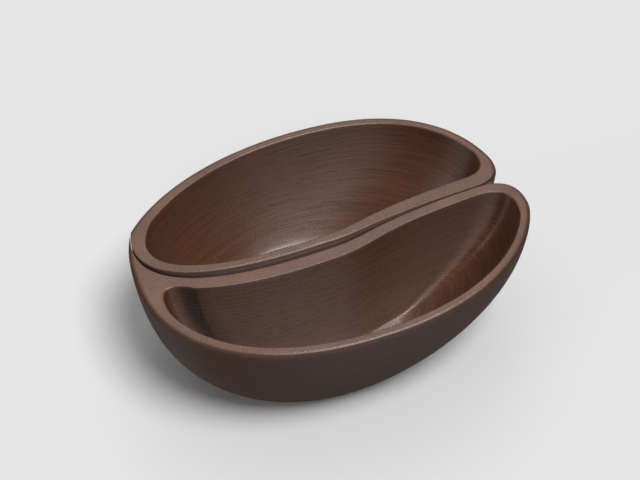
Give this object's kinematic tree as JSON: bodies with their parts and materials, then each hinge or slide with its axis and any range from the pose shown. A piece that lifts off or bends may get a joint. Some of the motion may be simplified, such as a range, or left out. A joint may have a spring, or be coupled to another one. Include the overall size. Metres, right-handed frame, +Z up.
{
  "type": "divided snack bowl",
  "caption": "Coffee-bean-shaped snack bowl in nesting halves parted along an S-shaped seam, each a smooth scooped compartment with a rounded rim and a flat foot.",
  "frame": {"origin": "on the table, under the middle of the bean's bounding box", "axes": "+X along the bean towards the front bowl's pointed nose, +Y towards the rear bowl, +Z up"},
  "size_m": [0.1546, 0.11, 0.052],
  "materials": {
    "rear_shell": "satin dark brown with fine level layer lines",
    "front_shell": "satin dark brown with fine level layer lines"
  },
  "bodies": {
    "front_half": {"front_bowl": "front_shell"},
    "rear_half": {"rear_bowl": "rear_shell"}
  },
  "joints": [
    {"name": "rear_lift", "type": "slide", "parent": "front_half", "child": "rear_half", "axis": [0, 0, 1], "range_m": [0, 0.07]}
  ]
}
